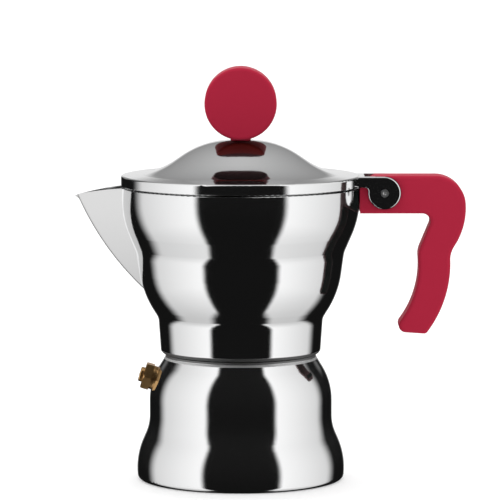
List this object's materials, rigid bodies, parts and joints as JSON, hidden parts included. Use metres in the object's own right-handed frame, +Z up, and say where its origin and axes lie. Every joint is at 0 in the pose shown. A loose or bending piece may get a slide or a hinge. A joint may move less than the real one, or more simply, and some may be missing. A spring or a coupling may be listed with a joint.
{
  "type": "moka pot",
  "caption": "Stovetop moka pot: wavy polished aluminium boiler and collector, beak spout, hinged bell lid with an upright disc knob, flat wavy red handle and brass relief valve.",
  "frame": {"origin": "centre of the boiler's flat foot, on the pot's axis", "axes": "+Z up along the pot's axis, +X towards the handle, so the spout points along -X"},
  "size_m": [0.1465, 0.0898, 0.1552],
  "materials": {
    "polished_aluminium": "mirror polished",
    "spun_aluminium": "satin",
    "silicone": "matt",
    "fibre": "matt",
    "brass": "turned",
    "steel": "plain",
    "red_nylon": "satin moulded"
  },
  "bodies": {
    "boiler": {"boiler": "polished_aluminium", "valve_body": "brass", "valve_washer": "fibre", "valve_retainer": "brass", "valve_spring": "steel"},
    "relief": {"valve_plunger": "brass", "valve_seal": "silicone"},
    "funnel": {"funnel": "spun_aluminium", "funnel_strainer": "spun_aluminium"},
    "seal": {"gasket": "silicone", "filter_plate": "spun_aluminium"},
    "pot": {"collector": "polished_aluminium", "handle": "red_nylon", "handle_screw": "steel", "hinge_pin": "steel"},
    "lid": {"lid": "polished_aluminium", "knob": "red_nylon", "knob_insert": "brass", "knob_screw": "steel", "knob_washer": "steel"}
  },
  "joints": [
    {"name": "relief_lift", "type": "slide", "parent": "boiler", "child": "relief", "axis": [-0.9563, 0, 0.2924], "range_m": [0, 0.0015], "stiffness_N_per_m": 500, "springref_m": -0.001, "deforming": ["valve_spring"]},
    {"name": "funnel_lift", "type": "slide", "parent": "boiler", "child": "funnel", "axis": [0, 0, 1], "range_m": [0, 0.055]},
    {"name": "pot_lift", "type": "slide", "parent": "funnel", "child": "seal", "axis": [0, 0, 1], "range_m": [0, 0.007]},
    {"name": "pot_turn", "type": "hinge", "parent": "seal", "child": "pot", "pos_m": [0, 0, 0.0555], "axis": [0, 0, 1], "range_deg": [0, 810]},
    {"name": "lid_hinge", "type": "hinge", "parent": "pot", "child": "lid", "pos_m": [0.0537, 0, 0.1085], "axis": [0, 1, 0], "range_deg": [0, 95]}
  ],
  "couplings": [
    {"joint": "pot_lift", "follows": "pot_turn", "m_per_rad": 0.00047746}
  ]
}
